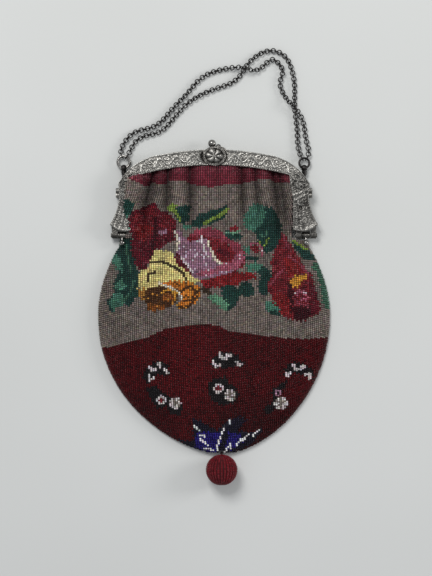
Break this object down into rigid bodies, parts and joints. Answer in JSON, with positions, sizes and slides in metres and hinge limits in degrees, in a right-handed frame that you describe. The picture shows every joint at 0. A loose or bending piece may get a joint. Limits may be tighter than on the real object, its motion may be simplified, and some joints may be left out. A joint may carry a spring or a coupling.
{
  "type": "beaded purse",
  "caption": "Knitted bead purse on a hinged silver frame with a snap clasp, a bead ball at its foot and a double link-chain handle, lying on its back.",
  "frame": {"origin": "on the flat back of the bag, halfway between the top of the chain and the foot of the ball", "axes": "+Y up the purse towards the chain handle, +X across it to the right, +Z out of the front, away from the surface it lies on"},
  "size_m": [0.1396, 0.2629, 0.0193],
  "materials": {
    "frame_silver": "aged cast silver with stippled relief",
    "chain_metal": "dark oxidised wire",
    "beadwork": "rows of small glossy glass beads in many colours",
    "ball_beads": "columns of small crimson glass beads over a round core",
    "thread": "dark waxed thread"
  },
  "bodies": {
    "back_and_bag": {"back_frame": "frame_silver", "back_clasp_knob": "frame_silver", "back_medallion": "frame_silver", "left_hinge_pin": "frame_silver", "right_hinge_pin": "frame_silver", "left_hinge_finial": "frame_silver", "right_hinge_finial": "frame_silver", "left_chain_lug": "frame_silver", "right_chain_lug": "frame_silver", "left_chain_ring": "frame_silver", "right_chain_ring": "chain_metal", "over_chain_strand": "chain_metal", "under_chain_strand": "chain_metal", "beaded_bag": "beadwork"},
    "front_half": {"front_frame": "frame_silver", "front_clasp_knob": "frame_silver", "front_medallion": "frame_silver"},
    "hanging_ball": {"bottom_ball": "ball_beads", "ball_thread": "thread"}
  },
  "joints": [
    {"name": "frame_opening", "type": "hinge", "parent": "back_and_bag", "child": "front_half", "pos_m": [0, 0.019, 0.0045], "axis": [1, 0, 0], "range_deg": [0, 75]},
    {"name": "ball_swing", "type": "hinge", "parent": "back_and_bag", "child": "hanging_ball", "pos_m": [0.0046, -0.11183, 0.0017], "axis": [1, 0, 0], "range_deg": [-30, 90]}
  ]
}
